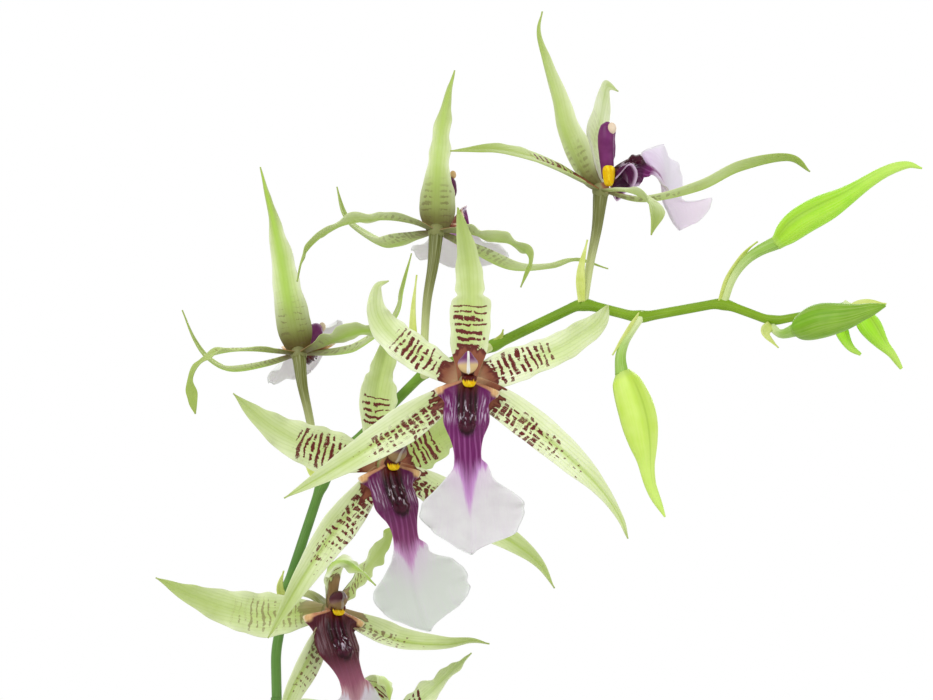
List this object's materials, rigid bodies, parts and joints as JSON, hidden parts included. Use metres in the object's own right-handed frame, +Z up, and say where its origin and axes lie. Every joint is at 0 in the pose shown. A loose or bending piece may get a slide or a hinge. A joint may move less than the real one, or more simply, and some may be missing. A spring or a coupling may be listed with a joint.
{
  "type": "potted orchid",
  "caption": "Potted orchid with an arching spray of star-shaped barred blooms with broad pale lips, green buds, pseudobulbs and strap leaves in a round clay pot of bark.",
  "frame": {"origin": "centre of the pot's flat underside", "axes": "+Z up; +X to the side the flower spray arches towards; +Y away from the side the nearest bloom faces"},
  "size_m": [0.323, 0.3349, 0.5808],
  "materials": {
    "terracotta": "unglazed fired clay, matt, a little chalky",
    "bark": "dry rough orchid bark",
    "stem": "smooth waxy green stem",
    "pseudobulb": "smooth ridged green bulb",
    "leaf": "leathery satin green blade",
    "bud": "waxy bright green",
    "tepal": "waxy pale yellow-green with dark maroon bars",
    "lip": "soft white to lilac blade with a purple waist",
    "column": "glossy purple with a pale cap"
  },
  "bodies": {
    "root": {"bloom_1_column": "column", "bloom_1_lip": "lip", "bloom_1_tepals": "tepal", "bloom_2_column": "column", "bloom_2_lip": "lip", "bloom_2_tepals": "tepal", "bloom_3_column": "column", "bloom_3_lip": "lip", "bloom_3_tepals": "tepal", "bloom_4_column": "column", "bloom_4_lip": "lip", "bloom_4_tepals": "tepal", "bloom_5_column": "column", "bloom_5_lip": "lip", "bloom_5_tepals": "tepal", "bloom_6_column": "column", "bloom_6_lip": "lip", "bloom_6_tepals": "tepal", "bloom_7_column": "column", "bloom_7_lip": "lip", "bloom_7_tepals": "tepal", "bud_1": "bud", "bud_2": "bud", "bud_3": "bud", "bud_4": "bud", "bud_5": "bud", "flower_stem": "stem", "leaf_1": "leaf", "leaf_2": "leaf", "leaf_3": "leaf", "leaf_4": "leaf", "leaf_5": "leaf", "leaf_6": "leaf", "leaf_7": "leaf", "pot": "terracotta", "potting_bark": "bark", "pseudobulb_1": "pseudobulb", "pseudobulb_2": "pseudobulb", "pseudobulb_3": "pseudobulb", "pseudobulb_4": "pseudobulb"}
  },
  "joints": []
}
